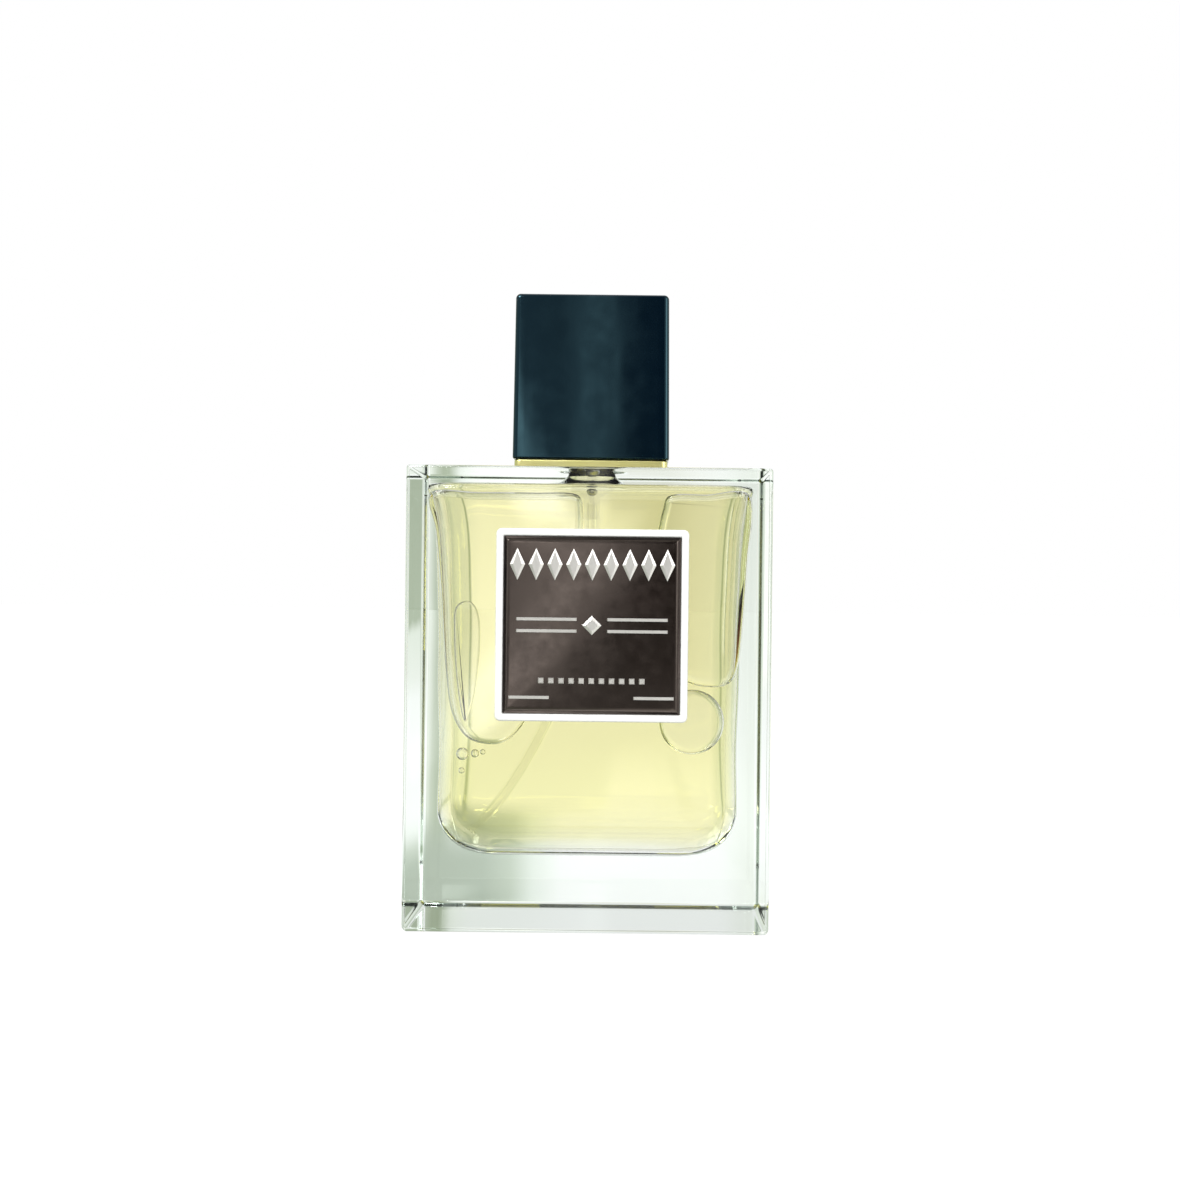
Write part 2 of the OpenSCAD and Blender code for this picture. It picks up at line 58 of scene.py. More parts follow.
def corner(node, high):
    """Lowest or highest corner of a CAD node, in millimetres."""
    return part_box(node)[1 if high else 0] / MM


# ---------------------------------------------------------------- sizes taken from the frame
GLASS_HIGH = corner("glass_bottle", True)
HALF_W = GLASS_HIGH.x
HALF_D = GLASS_HIGH.y
NECK_TOP = GLASS_HIGH.z
SHOULDER = corner("collar", False).z
CAVITY_HALF_D = corner("fragrance_liquid", True).y
FRAME_LOW, FRAME_HIGH = corner("label_frame", False), corner("label_frame", True)
LABEL_X = (FRAME_LOW.x + FRAME_HIGH.x) / 2
LABEL_Z = (FRAME_LOW.z + FRAME_HIGH.z) / 2
PANEL_HALF = (corner("label_panel", True).x - corner("label_panel", False).x) / 2

# ---------------------------------------------------------------- sizes of the glass and its cavity
FOOT_EDGE = 1.1
TOP_EDGE = 0.6
SIDE_EDGE = 0.8
FACE_WALL = HALF_D - CAVITY_HALF_D
CAVITY_TOP = SHOULDER - FACE_WALL
CAVITY_TOP_R = 1.2
WALL_TOP = CAVITY_TOP - CAVITY_TOP_R - 0.15
SIDE_WALL_TOP = 3.0
SIDE_WALL_LOW = 5.7
SIDE_WALL_REACH = 9.6
BASE_WALL = 12.8
FLOOR_RISE = 1.0
DOME_RISE = 0.6
FLOOR_R = 9.0
CAVITY_CORNER = 4.0
NECK_R = 6.2
BEAD_R = 7.4
BEAD_H = 3.0
BORE_R = 4.3
WET_OVERLAP = 0.05
ADHESIVE_T = 0.1
FRAME_T = 0.9
FRAME_FLOOR = 0.3
PANEL_T = 0.7
BAND_H = 1.6
# The bore's flared foot: its radius and height, from the ceiling up.
BELL = [
    (BORE_R + 3.2, CAVITY_TOP + 0.58), (BORE_R + 2.4, CAVITY_TOP + 0.72),
    (BORE_R + 1.6, CAVITY_TOP + 1.05), (BORE_R + 0.9, CAVITY_TOP + 1.5),
    (BORE_R + 0.4, CAVITY_TOP + 2.05), (BORE_R + 0.1, CAVITY_TOP + 2.65), (BORE_R, CAVITY_TOP + 3.3),
]


# ---------------------------------------------------------------- points round every ring of a block
CORNER_STEPS = 8
LONG_STEPS = 20
SHORT_STEPS = 14
RING_POINTS = 4 * (CORNER_STEPS + 1) + 2 * LONG_STEPS + 2 * SHORT_STEPS


# ---------------------------------------------------------------- mesh helpers
def mesh_piece(name, points, faces, material, body, replaces, sharp_deg=35):
    """A smooth-shaded mesh object in millimetres that rides on a body."""
    mesh = bpy.data.meshes.new(name)
    mesh.from_pydata([Vector(p) * MM for p in points], [], faces)
    mesh.validate()
    mesh.polygons.foreach_set("use_smooth", [True] * len(mesh.polygons))
    mesh.set_sharp_from_angle(angle=math.radians(sharp_deg))
    mesh.update()
    piece = bpy.data.objects.new(name, mesh)
    bpy.context.scene.collection.objects.link(piece)
    piece.data.materials.append(material)
    weighted = piece.modifiers.new("flat_faces", "WEIGHTED_NORMAL")
    weighted.keep_sharp = True
    weighted.weight = 100
    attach(piece, body)
    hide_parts(*replaces)
    return piece


def skin(rings, closed_low=True, closed_high=True, loop=False):
    """Points and faces of a surface through rings of equal length, each a list of points.
    The rings turn counter-clockwise seen from the far end, so that the faces look outwards."""
    n = len(rings[0])
    points = [p for ring in rings for p in ring]
    faces = []
    for k in range(len(rings) if loop else len(rings) - 1):
        a, b = k * n, (k + 1) % len(rings) * n
        for i in range(n):
            j = (i + 1) % n
            faces.append((a + i, a + j, b + j, b + i))
    if closed_low and not loop:
        low = len(points)
        points.append(tuple(sum(c) / n for c in zip(*rings[0])))
        faces += [(low, (i + 1) % n, i) for i in range(n)]
    if closed_high and not loop:
        high = len(points)
        last = (len(rings) - 1) * n
        points.append(tuple(sum(c) / n for c in zip(*rings[-1])))
        faces += [(high, last + i, last + (i + 1) % n) for i in range(n)]
    return points, faces


def joined(parts):
    """One list of points and faces from several."""
    points, faces = [], []
    for some_points, some_faces in parts:
        start = len(points)
        points += some_points
        faces += [tuple(start + i for i in face) for face in some_faces]
    return points, faces


def block_ring(half_w, half_d, r, z):
    """A rounded rectangle at height z, with points along its straight sides too."""
    r = max(r, 0.02)
    ring = []
    for quarter in range(4):
        side_x = 1 if quarter in (0, 3) else -1
        side_y = 1 if quarter < 2 else -1
        cx, cy = side_x * (half_w - r), side_y * (half_d - r)
        for step in range(CORNER_STEPS + 1):
            a = math.radians(90 * quarter + 90 * step / CORNER_STEPS)
            ring.append((cx + r * math.cos(a), cy + r * math.sin(a), z))
        along_x = quarter % 2 == 0
        steps = LONG_STEPS if along_x else SHORT_STEPS
        run = 2 * ((half_w if along_x else half_d) - r)
        dx, dy = (-side_x, 0) if along_x else (0, -side_y)
        x, y, _ = ring[-1]
        for step in range(1, steps + 1):
            t = run * step / (steps + 1)
            ring.append((x + dx * t, y + dy * t, z))
    return ring


def round_ring(r, z):
    """A circle at height z whose points run beside those of block_ring."""
    turn = 2 * math.pi / RING_POINTS
    start = math.pi / 2 - (CORNER_STEPS + (LONG_STEPS + 1) / 2) * turn
    return [
        (r * math.cos(start + i * turn), r * math.sin(start + i * turn), z)
        for i in range(RING_POINTS)
    ]


def shrunk(ring, share, z):
    """A ring drawn in towards the axis and moved to height z."""
    return [(x * share, y * share, z) for x, y, _ in ring]


def quarter_arc(steps):
    """Pairs (sine, cosine) from 0 to 90 degrees."""
    turn = [math.radians(90 * s / steps) for s in range(steps + 1)]
    return [(math.sin(a), math.cos(a)) for a in turn]


def square_ring(half, r, z):
    """A rounded square at height z."""
    return block_ring(half, half, r, z)


def block_rings(half_w, half_d, low, high, low_r, high_r, plan_r, top_half=None, steps=6):
    """Rings of a block with rounded edges, from its bottom face to its top face.
    top_half, if given, is the half width and half depth at the top of a tapered block."""
    top_w, top_d = top_half or (half_w, half_d)

    def at(z, inset):
        t = (z - low) / (high - low)
        w, d = half_w + (top_w - half_w) * t, half_d + (top_d - half_d) * t
        return block_ring(w - inset, d - inset, plan_r - inset, z)

    rings = [at(low + low_r * (1 - c), low_r * (1 - s)) for s, c in quarter_arc(steps)]
    rings += [at(high - high_r * (1 - s), high_r * (1 - c)) for s, c in quarter_arc(steps)]
    return rings


def tube_rings(path, r, sides):
    """Round sections of radius r along a path of (point, sideways, up) stations."""
    turns = [2 * math.pi * k / sides for k in range(sides)]
    return [
        [tuple(centre + r * (math.cos(a) * side + math.sin(a) * up)) for a in turns]
        for centre, side, up in path
    ]


# ---------------------------------------------------------------- material helpers
def node_material(name):
    """A new node material, with its tree and its Principled shader."""
    material = bpy.data.materials.new(name)
    material.use_nodes = True
    return material, material.node_tree, material.node_tree.nodes["Principled BSDF"]


def grey(value):
    """A neutral colour."""
    return (value, value, value)


def feed(tree, socket, value):
    """Sets a socket to a number or a colour, or links it to an output."""
    if isinstance(value, (int, float)):
        socket.default_value = value
    elif isinstance(value, tuple):
        socket.default_value = (*value, 1)
    else:
        tree.links.new(value, socket)


def arithmetic(tree, operation, *values):
    """A Math node over outputs or numbers."""
    node = tree.nodes.new("ShaderNodeMath")
    node.operation = operation
    for socket, value in zip(node.inputs, values):
        feed(tree, socket, value)
    return node.outputs[0]


def mix_colours(tree, factor, first, second, blend="MIX"):
    """A mix of two colours, each an output or a constant."""
    mix = tree.nodes.new("ShaderNodeMix")
    mix.data_type = "RGBA"
    mix.blend_type = blend
    feed(tree, mix.inputs["Factor"], factor)
    feed(tree, mix.inputs[6], first)
    feed(tree, mix.inputs[7], second)
    return mix.outputs[2]


def split_axes(tree, kind):
    """The X, Y and Z of a kind of texture coordinate."""
    place = tree.nodes.new("ShaderNodeTexCoord")
    apart = tree.nodes.new("ShaderNodeSeparateXYZ")
    tree.links.new(place.outputs[kind], apart.inputs["Vector"])
    return apart.outputs["X"], apart.outputs["Y"], apart.outputs["Z"]


def noise_node(tree, scale, detail=3.0, roughness=0.5, stretch=(1, 1, 1)):
    """Object-space noise, scale in features per metre."""
    place = tree.nodes.new("ShaderNodeTexCoord")
    mapping = tree.nodes.new("ShaderNodeMapping")
    mapping.inputs["Scale"].default_value = stretch
    tree.links.new(place.outputs["Object"], mapping.inputs["Vector"])
    noise = tree.nodes.new("ShaderNodeTexNoise")
    noise.inputs["Scale"].default_value = scale
    noise.inputs["Detail"].default_value = detail
    noise.inputs["Roughness"].default_value = roughness
    tree.links.new(mapping.outputs["Vector"], noise.inputs["Vector"])
    return noise


def spread(tree, source, low, high, to_low, to_high, smooth=False):
    """A value mapped from the range low to high onto the range to_low to to_high."""
    node = tree.nodes.new("ShaderNodeMapRange")
    if smooth:
        node.interpolation_type = "SMOOTHSTEP"
    node.inputs["From Min"].default_value = low
    node.inputs["From Max"].default_value = high
    node.inputs["To Min"].default_value = to_low
    node.inputs["To Max"].default_value = to_high
    tree.links.new(source, node.inputs["Value"])
    return node.outputs["Result"]


def vary_roughness(tree, shader, noise, low, high):
    """Roughness from low to high over the noise."""
    tree.links.new(spread(tree, noise.outputs["Fac"], 0.3, 0.7, low, high), shader.inputs["Roughness"])


def ramp_colour(tree, factor, stops):
    """A colour ramp over a factor, from (position, colour) stops."""
    ramp = tree.nodes.new("ShaderNodeValToRGB")
    elements = ramp.color_ramp.elements
    while len(elements) < len(stops):
        elements.new(0.5)
    for element, (position, colour) in zip(elements, stops):
        element.position = position
        element.color = (*colour, 1)
    tree.links.new(factor, ramp.inputs["Fac"])
    return ramp.outputs["Color"]


def vary_colour(tree, shader, noise, first, second):
    """Base colour from first to second over the noise."""
    colour = ramp_colour(tree, noise.outputs["Fac"], [(0.3, first), (0.7, second)])
    tree.links.new(colour, shader.inputs["Base Color"])


def add_bump(tree, shader, noise, height_mm, strength=1.0):
    """Bump of a given height from the noise."""
    bump = tree.nodes.new("ShaderNodeBump")
    bump.inputs["Strength"].default_value = strength
    bump.inputs["Distance"].default_value = height_mm * MM
    tree.links.new(noise.outputs["Fac"], bump.inputs["Height"])
    tree.links.new(bump.outputs["Normal"], shader.inputs["Normal"])


def clear_material(name, ior, tint, density, wave_scale, wave_mm):
    """Glass or liquid: it refracts, its depth takes up colour, and its surface waves a little."""
    material, tree, shader = node_material(name)
    shader.inputs["Base Color"].default_value = (1, 1, 1, 1)
    shader.inputs["Transmission Weight"].default_value = 1
    shader.inputs["IOR"].default_value = ior
    shader.inputs["Roughness"].default_value = 0
    absorb = tree.nodes.new("ShaderNodeVolumeAbsorption")
    absorb.inputs["Color"].default_value = (*tint, 1)
    absorb.inputs["Density"].default_value = density
    tree.links.new(absorb.outputs["Volume"], tree.nodes["Material Output"].inputs["Volume"])
    add_bump(tree, shader, noise_node(tree, wave_scale, 1.0), wave_mm)
    return material


def plastic(name, first, second, low=0.28, high=0.4, grain_mm=0.004, scale=450):
    """Moulded plastic with a slight grain and uneven gloss."""
    material, tree, shader = node_material(name)
    vary_colour(tree, shader, noise_node(tree, 120, 2.0), first, second)
    vary_roughness(tree, shader, noise_node(tree, 2 * scale, 3.0), low, high)
    add_bump(tree, shader, noise_node(tree, scale, 1.0), grain_mm, 0.5)
    return material


def metal(name, first, second, low, high, brushed=(1, 1, 1), scale=1200, grain_mm=0.002):
    """Metal with a fine grain, drawn out along one way where brushed says so."""
    material, tree, shader = node_material(name)
    shader.inputs["Metallic"].default_value = 1
    grain = noise_node(tree, scale, 4.0, stretch=brushed)
    vary_colour(tree, shader, noise_node(tree, 200, 2.0), first, second)
    vary_roughness(tree, shader, grain, low, high)
    add_bump(tree, shader, grain, grain_mm, 0.5)
    return material


def cap_lacquer():
    """Deep blue-black gloss lacquer with the slight waves of a sprayed coat."""
    material, tree, shader = node_material("cap_lacquer")
    patches = noise_node(tree, 60, 2.0, stretch=(1, 1, 0.4))
    vary_colour(tree, shader, patches, (0.0006, 0.0032, 0.007), (0.0012, 0.005, 0.0105))
    vary_roughness(tree, shader, noise_node(tree, 300, 5.0), 0.05, 0.1)
    add_bump(tree, shader, noise_node(tree, 75, 2.0, stretch=(1, 1, 0.3)), 0.07, 1.0)
    shader.inputs["IOR"].default_value = 1.6
    shader.inputs["Specular Tint"].default_value = (0.4, 0.85, 1.0, 1)
    return material


def panel_lacquer():
    """Dark brown gloss panel, with shade painted very dark round its edge where its sunk groove lies."""
    material, tree, shader = node_material("panel_lacquer")
    x, _, z = split_axes(tree, "Object")
    off_x = arithmetic(tree, "ABSOLUTE", arithmetic(tree, "SUBTRACT", x, LABEL_X * MM))
    off_z = arithmetic(tree, "ABSOLUTE", arithmetic(tree, "SUBTRACT", z, LABEL_Z * MM))
    reach = arithmetic(tree, "MAXIMUM", off_x, off_z)
    # Painted shade: the sunk edge round the panel is coloured near-black, standing in for the shade in its
    # groove.
    groove_shade_in, groove_shade_out = PANEL_HALF - 0.55, PANEL_HALF - 0.4
    groove_shade = spread(tree, reach, groove_shade_in * MM, groove_shade_out * MM, 0, 1)
    patches = noise_node(tree, 55, 3.0).outputs["Fac"]
    brown = ramp_colour(tree, patches, [(0.3, (0.003, 0.0018, 0.0013)), (0.7, (0.007, 0.0045, 0.0035))])
    black = (0.002, 0.0015, 0.002)
    tree.links.new(mix_colours(tree, groove_shade, brown, black), shader.inputs["Base Color"])
    vary_roughness(tree, shader, noise_node(tree, 500, 4.0), 0.08, 0.16)
    add_bump(tree, shader, noise_node(tree, 70, 2.0), 0.03, 1.0)
    shader.inputs["IOR"].default_value = 2.0
    shader.inputs["Specular Tint"].default_value = (1.0, 0.82, 0.72, 1)
    return material


def wet_plastic(name, first, second, transmission, ior):
    """Translucent plastic that stands in the liquid: its index is the one against the liquid."""
    material, tree, shader = node_material(name)
    vary_colour(tree, shader, noise_node(tree, 160, 2.0), first, second)
    shader.inputs["Transmission Weight"].default_value = transmission
    shader.inputs["IOR"].default_value = ior
    vary_roughness(tree, shader, noise_node(tree, 700, 3.0), 0.03, 0.08)
    return material


def sheer_plastic(name, first, second, solid):
    """Thin translucent plastic that lets most light straight through, without bending it."""
    material = plastic(name, first, second, 0.2, 0.3, 0.001)
    material.node_tree.nodes["Principled BSDF"].inputs["Alpha"].default_value = solid
    return material


MATERIALS = {
    "glass": clear_material("bottle_glass", 1.5, (0.62, 0.93, 0.72), 4.5, 60, 0.02),
    "liquid": clear_material("fragrance_liquid", 1.36, (0.93, 0.877, 0.02), 24.0, 40, 0.01),
    "frame": plastic("white_frame", (0.8, 0.8, 0.79), (0.83, 0.83, 0.82), 0.25, 0.32, 0.002),
    "panel": panel_lacquer(),
    "silver": metal("silver_ornament", (0.78, 0.76, 0.72), (0.86, 0.84, 0.8), 0.36, 0.44, scale=3000),
    "gilt": metal("gilt_collar", (0.8, 0.75, 0.29), (0.87, 0.82, 0.37), 0.3, 0.4, (0.1, 0.1, 3)),
    "aluminium": metal("bare_aluminium", (0.78, 0.79, 0.8), (0.85, 0.86, 0.87), 0.22, 0.36, (0.1, 0.1, 3)),
    "steel": metal("spring_steel", (0.55, 0.55, 0.57), (0.66, 0.66, 0.68), 0.14, 0.24),
    "pump": plastic("pump_plastic", (0.74, 0.74, 0.72), (0.8, 0.8, 0.78), 0.35, 0.5),
    "housing": sheer_plastic("housing_plastic", (0.95, 0.93, 0.66), (0.98, 0.96, 0.72), 0.07),
    "tube": wet_plastic("dip_tube_plastic", (0.98, 0.98, 0.95), (1.0, 1.0, 0.97), 0.98, 1.02),
    "rubber": plastic("seal_rubber", (0.02, 0.02, 0.02), (0.04, 0.04, 0.04), 0.6, 0.8, 0.01),
    "foam": plastic("gasket_foam", (0.6, 0.6, 0.58), (0.7, 0.7, 0.68), 0.7, 0.9, 0.02),
    "button": plastic("button_plastic", (0.6, 0.6, 0.59), (0.64, 0.64, 0.63), 0.25, 0.34, 0.001),
    "nozzle": plastic("nozzle_plastic", (0.42, 0.42, 0.41), (0.47, 0.47, 0.46), 0.3, 0.4, 0.001),
    "cap": cap_lacquer(),
    "liner": plastic("liner_plastic", (0.72, 0.72, 0.71), (0.8, 0.8, 0.79), 0.35, 0.5),
    "film": plastic("adhesive_film", (0.7, 0.7, 0.68), (0.78, 0.78, 0.76), 0.4, 0.5),
}


# ---------------------------------------------------------------- glass and liquid
def side_wall(z):
    """Thickness of the side walls at height z: thin at the shoulder, thick lower down."""
    drop = max(CAVITY_TOP - z, 0) / SIDE_WALL_REACH
    return SIDE_WALL_LOW - (SIDE_WALL_LOW - SIDE_WALL_TOP) * math.exp(-drop)


def wander(z, phase):
    """The slow unevenness that blowing leaves on the inner walls."""
    return 0.12 * math.sin(z / 7.1 + phase) + 0.07 * math.sin(z / 3.3 + 2.1 * phase)


def cavity_ring(z, inset, grow=0.0):
    """The cavity's outline at height z, inset from its walls, and grown all round."""
    uneven = wander(z, 0.4) if z < CAVITY_TOP - 2 else 0.0
    half_w = HALF_W - side_wall(z) - inset + grow + uneven
    half_d = CAVITY_HALF_D - inset + grow
    return block_ring(half_w, half_d, CAVITY_CORNER + grow, z)


def wet_cavity_rings(grow, top_z):
    """Rings of the cavity from its floor up to top_z."""
    floor = cavity_ring(BASE_WALL, FLOOR_R, grow)
    rings = [
        shrunk(floor, share, BASE_WALL + FLOOR_RISE * (1 - share ** 2) - grow)
        for share in (0.15, 0.4, 0.65, 0.85)
    ]
    low = BASE_WALL + FLOOR_R
    for s, c in reversed(quarter_arc(14)):
        rings.append(cavity_ring(low - (FLOOR_R + grow) * s, FLOOR_R * (1 - c), grow * c))
    wall_steps = 40
    for step in range(1, wall_steps + 1):
        rings.append(cavity_ring(low + (top_z - low) * step / wall_steps, 0, grow))
    return rings


def ceiling_rings(grow):
    """Rings of the cavity's rounded top edge and its ceiling, from the walls in towards the neck."""
    rings = []
    for s, c in quarter_arc(6):
        z = CAVITY_TOP - CAVITY_TOP_R * (1 - s) + grow * s
        rings.append(cavity_ring(z, CAVITY_TOP_R * (1 - c), grow * c))
    top = cavity_ring(CAVITY_TOP, CAVITY_TOP_R)
    for share in (0.88, 0.7, 0.45):
        rings.append(shrunk(top, share, CAVITY_TOP + DOME_RISE * (1 - share ** 2) + grow))
    return rings


def glass_bottle():
    """One closed skin: base, sides, shoulder, neck, bore and cavity."""
    rings = block_rings(HALF_W, HALF_D, 0, SHOULDER, FOOT_EDGE, TOP_EDGE, SIDE_EDGE, steps=7)
    bead_low = NECK_TOP - BEAD_H
    neck = [
        (NECK_R + 0.7, SHOULDER), (NECK_R + 0.2, SHOULDER + 0.2), (NECK_R, SHOULDER + 0.7),
        (NECK_R, bead_low - 0.5), (NECK_R + 0.15, bead_low - 0.1), (BEAD_R - 0.4, bead_low),
        (BEAD_R - 0.1, bead_low + 0.12), (BEAD_R, bead_low + 0.4), (BEAD_R, NECK_TOP - 0.5),
        (BEAD_R - 0.15, NECK_TOP - 0.15), (BEAD_R - 0.5, NECK_TOP), (BORE_R + 0.4, NECK_TOP),
        (BORE_R + 0.1, NECK_TOP - 0.1), (BORE_R, NECK_TOP - 0.4),
    ]
    rings += [round_ring(r, z) for r, z in neck]
    rings += [round_ring(r, z) for r, z in reversed(BELL)]
    rings += reversed(ceiling_rings(0))
    rings += reversed(wet_cavity_rings(0, WALL_TOP))
    points, faces = skin(rings)
    return mesh_piece(
        "bottle_glass", points, faces, MATERIALS["glass"], "bottle", ["glass_bottle"]
    )


def smooth_outline(knots, per_span):
    """A closed smooth curve through (x, z) knots, turning one way."""
    n = len(knots)
    curve = []
    for i in range(n):
        a, b, c, d = (Vector(knots[(i + k) % n]) for k in (-1, 0, 1, 2))
        for step in range(per_span):
            t = step / per_span
            curve.append(0.5 * (
                2 * b + (c - a) * t + (2 * a - 5 * b + 4 * c - d) * t ** 2
                + (3 * b - a - 3 * c + d) * t ** 3
            ))
    return curve


def air_pocket(knots, thick, front=0.15, rim=0.0, per_span=8):
    """The skin of a flat air pocket against the front wall, facing inwards. Its rim is round, or
    drawn out to a width of rim. The knots run clockwise seen from the front."""
    curve = smooth_outline(knots, per_span)
    n = len(curve)
    inward = []
    for i in range(n):
        along = (curve[(i + 1) % n] - curve[i - 1]).normalized()
        inward.append(Vector((along.y, -along.x)))
    half = thick / 2
    rim = max(rim, half)
    middle = -CAVITY_HALF_D + front + half
    rings = []
    for step in range(9):
        a = math.radians(-90 + 180 * step / 8)
        inset = rim * (1 - math.cos(a))
        y = middle + half * math.sin(a)
        rings.append([
            (p.x + side.x * inset, y, p.y + side.y * inset) for p, side in zip(curve, inward)
        ])
    points = [p for ring in rings for p in ring]
    faces = []
    for k in range(len(rings) - 1):
        for i in range(n):
            j = (i + 1) % n
            faces.append((k * n + j, k * n + i, (k + 1) * n + i, (k + 1) * n + j))
    last = (len(rings) - 1) * n
    faces.append(tuple(range(n)))
    faces.append(tuple(last + i for i in reversed(range(n))))
    return points, faces


def round_knots(x, z, r, count=10):
    """Knots of a circle, clockwise seen from the front."""
    turn = -2 * math.pi / count
    return [(x + r * math.cos(i * turn), z + r * math.sin(i * turn)) for i in range(count)]


def fragrance_liquid():
    """The liquid, up into the flared foot of the neck, with air caught in it along the front wall,
    as a bottle that has just been picked up from its back shows."""
    rings = wet_cavity_rings(WET_OVERLAP, WALL_TOP)
    rings += ceiling_rings(WET_OVERLAP)
    wetted = BELL[:5]
    rings += [round_ring(r + WET_OVERLAP, z + WET_OVERLAP) for r, z in wetted]
    level = wetted[-1][1] + 0.1
    meniscus = [(4.6, 0.06), (4.4, 0.14), (4.0, 0.2), (2.6, 0.2)]
    rings += [round_ring(r, level - sink) for r, sink in meniscus]
    left_pocket = [
        (-28.9, 79.2), (-20.0, 79.4), (-10.0, 79.4), (-2.6, 79.2), (-1.2, 76.0), (-1.6, 70.0),
        (-3.4, 62.0), (-5.6, 54.0), (-8.0, 46.4), (-10.2, 40.4), (-12.2, 36.6), (-15.0, 34.1),
        (-18.4, 33.7), (-21.9, 34.9), (-24.3, 38.4), (-25.4, 43.0), (-26.2, 52.0), (-26.9, 62.0),
        (-27.9, 72.0),
    ]
    right_pocket = [
        (14.6, 79.2), (21.0, 79.4), (29.0, 79.2), (28.7, 67.0), (28.0, 56.0), (27.2, 48.5),
        (25.6, 45.2), (22.4, 44.4), (17.8, 45.4), (14.2, 49.4), (12.2, 56.0), (11.6, 64.0),
        (12.2, 71.0), (13.2, 76.4),
    ]
    tongue = [
        (-24.4, 58.2), (-22.0, 59.6), (-20.2, 57.4), (-19.8, 52.0), (-20.4, 45.0), (-21.3, 40.0),
        (-22.4, 37.6), (-23.4, 41.0), (-24.2, 47.0), (-24.6, 53.0),
    ]
    pockets = [
        air_pocket(left_pocket, 1.5, rim=1.5),
        air_pocket(right_pocket, 1.5, rim=1.5),
        air_pocket(tongue, 0.5, 1.9, rim=0.4),
        air_pocket(round_knots(18.9, 38.1, 5.9, 12), 1.5, rim=1.2),
        air_pocket(round_knots(-22.6, 31.9, 1.15), 1.1),
        air_pocket(round_knots(-20.3, 32.0, 0.75), 0.8),
        air_pocket(round_knots(-18.9, 32.3, 0.5), 0.5),
        air_pocket(round_knots(-22.7, 28.9, 0.55), 0.5),
    ]
    points, faces = joined([skin(rings)] + pockets)
    return mesh_piece(
        "fragrance", points, faces, MATERIALS["liquid"], "bottle", ["fragrance_liquid"], 50
    )


# ---------------------------------------------------------------- cap and collar
def cap_shell():
    """The hollow square cap: outer skin, rounded mouth and inner skin in one, with four inner ribs."""
    low, high = corner("cap_shell", False), corner("cap_shell", True)
    half, bottom, top = high.x, low.z, high.z
    top_half = half - 0.3
    edge, wall, lip = 0.9, 1.8, 0.35
    outer = block_rings(half, half, bottom, top, lip, edge, edge, (top_half, top_half), 7)
    inner = []
    for step in range(9):
        t = step / 8
        w = half - wall + (top_half - half) * t
        inner.append(square_ring(w, 0.4, bottom + lip + (top - wall - bottom - lip) * t))
    mouth = square_ring(half - wall + 0.25, 0.5, bottom)
    shell_points, shell_faces = skin([mouth] + outer, closed_low=False)
    room_points, room_faces = skin([mouth] + inner, closed_low=False)
    room_faces = [tuple(reversed(face)) for face in room_faces]
    liner = corner("cap_liner", True).z
    reach_in, reach_out, rib_half = 10.3, half - wall + 0.4, 0.5
    rib_low, rib_high = bottom + 1.2, liner - 0.02
    ribs = []
    for turn in range(4):
        c, s = math.cos(turn * math.pi / 2), math.sin(turn * math.pi / 2)
        ring = [(reach_in, -rib_half), (reach_out, -rib_half), (reach_out, rib_half), (reach_in, rib_half)]
        plan = [(x * c - y * s, x * s + y * c) for x, y in ring]
        ribs.append(skin([[(x, y, z) for x, y in plan] for z in (rib_low, rib_high)]))
    points, faces = joined([(shell_points, shell_faces), (room_points, room_faces)] + ribs)
    return mesh_piece(
        "cap_shell_lacquered", points, faces, MATERIALS["cap"], "cap", ["cap_shell"]
    )


def collar():
    """The square gilt band and the round sleeve that stands on it, as one skin."""
    high = corner("collar", True)
    half, top = high.x, high.z
    bottom = SHOULDER + 0.03
    band_top = SHOULDER + BAND_H
    sleeve_in, sleeve_out, lip_in = 8.1, 9.0, 7.25
    snap_z = SHOULDER + 8.0
    band = block_rings(half, half, bottom, band_top, 0.12, 0.3, 1.2, steps=5)
    sleeve = [
        (sleeve_out + 0.25, band_top), (sleeve_out, band_top + 0.2), (sleeve_out, snap_z - 0.5),
        (sleeve_out + 0.1, snap_z - 0.15), (sleeve_out + 0.15, snap_z), (sleeve_out + 0.1, snap_z + 0.15),
        (sleeve_out, snap_z + 0.5), (sleeve_out, top - 0.3), (sleeve_out - 0.09, top - 0.09),
        (sleeve_out - 0.3, top), (lip_in + 0.2, top), (lip_in + 0.06, top - 0.06), (lip_in, top - 0.2),
        (lip_in, top - 1.0), (sleeve_in, top - 1.0), (sleeve_in, bottom),
    ]
    points, faces = skin(band + [round_ring(r, z) for r, z in sleeve], loop=True)
    return mesh_piece("collar_gilt", points, faces, MATERIALS["gilt"], "bottle", ["collar"])


# ---------------------------------------------------------------- label
def on_front(part, height):
    """A part drawn flat on z = 0, laid on the front of the glass at a height off it."""
    points, faces = part
    laid = [(x + LABEL_X, -HALF_D - height - z, y + LABEL_Z) for x, y, z in points]
    return laid, faces


def label_adhesive():
    """The film between glass and frame. It wets the glass, so it reaches a hair into it."""
    half = corner("label_adhesive", True).x - LABEL_X
    rings = block_rings(half, half, -0.02, ADHESIVE_T, 0.01, 0.03, 0.5, steps=2)
    points, faces = on_front(skin(rings), 0)
    return mesh_piece(
        "label_film", points, faces, MATERIALS["film"], "bottle", ["label_adhesive"]
    )


